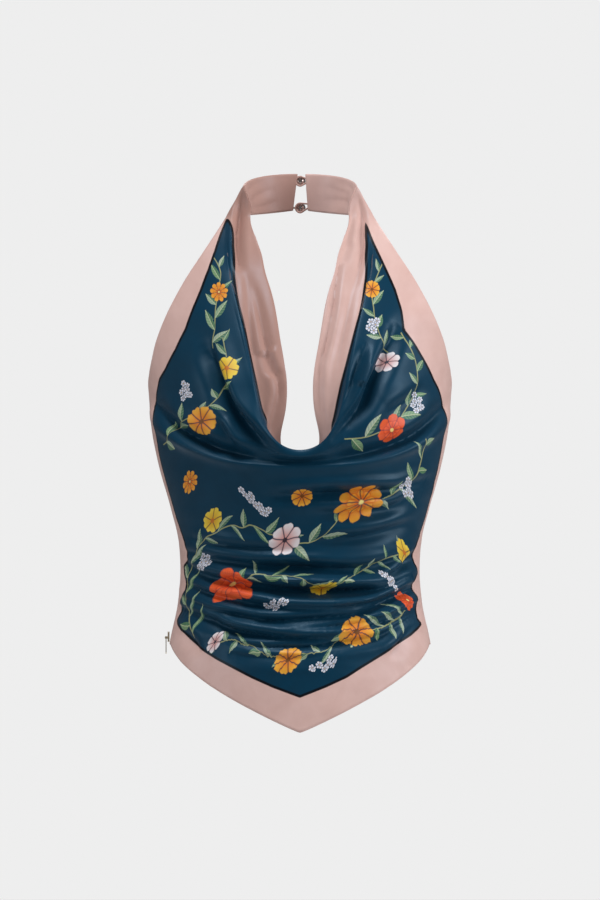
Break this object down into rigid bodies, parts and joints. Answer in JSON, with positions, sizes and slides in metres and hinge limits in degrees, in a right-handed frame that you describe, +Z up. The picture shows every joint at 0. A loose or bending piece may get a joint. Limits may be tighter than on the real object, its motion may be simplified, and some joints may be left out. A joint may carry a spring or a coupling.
{
  "type": "cowl neck tank top",
  "caption": "Halter-neck satin top with a cowl neckline, ruched waist, pointed hem, buttoned neckband and side zip, filled out as worn.",
  "frame": {"origin": "nape of the neck: the middle of the back of the neckband's inner face, between the buttons' heights, where the worn top is held", "axes": "+Z up, -Y the front of the top, +X to the right of a viewer who faces the front, which is the wearer's left"},
  "size_m": [0.2986, 0.2099, 0.5495],
  "materials": {
    "teal_satin": "satin, printed with flowers inside a pink border",
    "pink_satin": "satin, plain dusty pink",
    "pink_rouleau": "satin, rolled cord",
    "rose_metal": "polished rose metal",
    "zip_coil_nylon": "nylon coil",
    "pale_gold_metal": "plated, pale gold"
  },
  "bodies": {
    "garment": {"front_panel": "teal_satin", "back_panel": "pink_satin", "neckband_left": "pink_satin", "neckband_right": "pink_satin", "button_upper": "rose_metal", "button_lower": "rose_metal", "loop_upper": "pink_rouleau", "loop_lower": "pink_rouleau", "zip_coil": "zip_coil_nylon", "zip_slider": "pale_gold_metal"},
    "pull": {"zip_pull": "pale_gold_metal"}
  },
  "joints": [
    {"name": "zip_pull_hinge", "type": "hinge", "parent": "garment", "child": "pull", "pos_m": [-0.132, -0.08404, -0.4358], "axis": [0, 1, 0], "range_deg": [-2, 150]}
  ]
}
